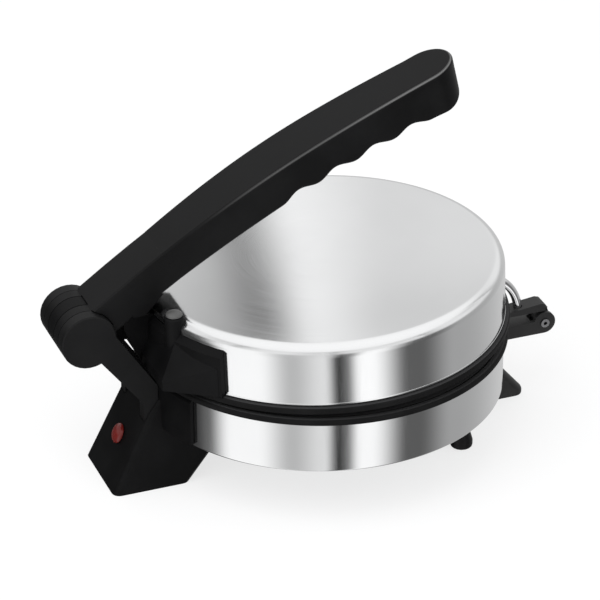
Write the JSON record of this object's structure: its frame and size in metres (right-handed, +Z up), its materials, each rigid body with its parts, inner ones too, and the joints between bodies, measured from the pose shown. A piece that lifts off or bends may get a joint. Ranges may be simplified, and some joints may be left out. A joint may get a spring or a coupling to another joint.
{
  "type": "electric roti maker",
  "caption": "Electric roti maker with two heated round plates, a polished steel base and lid, a long press handle hinged at the rear and a front catch",
  "frame": {"origin": "centre of the footprint on the surface that the feet stand on", "axes": "+Z up, +Y towards the rear hinge, -Y towards the front catch, X across"},
  "size_m": [0.2304, 0.3282, 0.2464],
  "materials": {
    "steel": "polished stainless steel",
    "chrome": "chromed rod",
    "black": "satin black moulded plastic",
    "aluminium": "cast plate, non-stick coated",
    "zinc": "plated steel",
    "lamp_red": "clear red plastic lens",
    "glass": "small neon bulb",
    "ivory": "heat-proof moulding",
    "grey": "grey plastic caps and pad"
  },
  "bodies": {
    "base": {"base_shell": "steel", "base_ring": "black", "lower_plate": "aluminium", "lower_element": "zinc", "lower_pan": "zinc", "lower_stud": "zinc", "lower_nut": "zinc", "thermostat": "ivory", "bottom_cover": "zinc", "foot_near": "black", "foot_far": "black", "front_leg": "black", "rear_housing": "black", "housing_cover": "black", "terminal_block": "ivory", "lamp_lens": "lamp_red", "lamp_bulb": "glass", "cord_inlet": "black", "hinge_arm_far": "black", "hinge_arm_near": "black", "hinge_axle": "zinc", "catch_block": "black", "catch_pin": "zinc"},
    "lid": {"lid_shell": "steel", "lid_ring": "black", "upper_plate": "aluminium", "upper_element": "zinc", "upper_pan": "zinc", "upper_stud": "zinc", "upper_nut": "zinc", "lid_bracket": "black", "boss_cap_near": "grey", "boss_cap_far": "grey"},
    "handle": {"press_handle": "black", "press_pad": "grey"},
    "catch": {"catch_lever": "black", "catch_rod": "chrome"}
  },
  "joints": [
    {"name": "lid_hinge", "type": "hinge", "parent": "base", "child": "lid", "pos_m": [0, 0.14695, 0.1061], "axis": [-1, 0, 0], "range_deg": [-1.8, 98]},
    {"name": "handle_hinge", "type": "hinge", "parent": "lid", "child": "handle", "pos_m": [0, 0.14695, 0.1061], "axis": [-1, 0, 0], "range_deg": [0, 40]},
    {"name": "catch_hinge", "type": "hinge", "parent": "base", "child": "catch", "pos_m": [0, -0.15685, 0.0503], "axis": [1, 0, 0], "range_deg": [0, 95]}
  ]
}
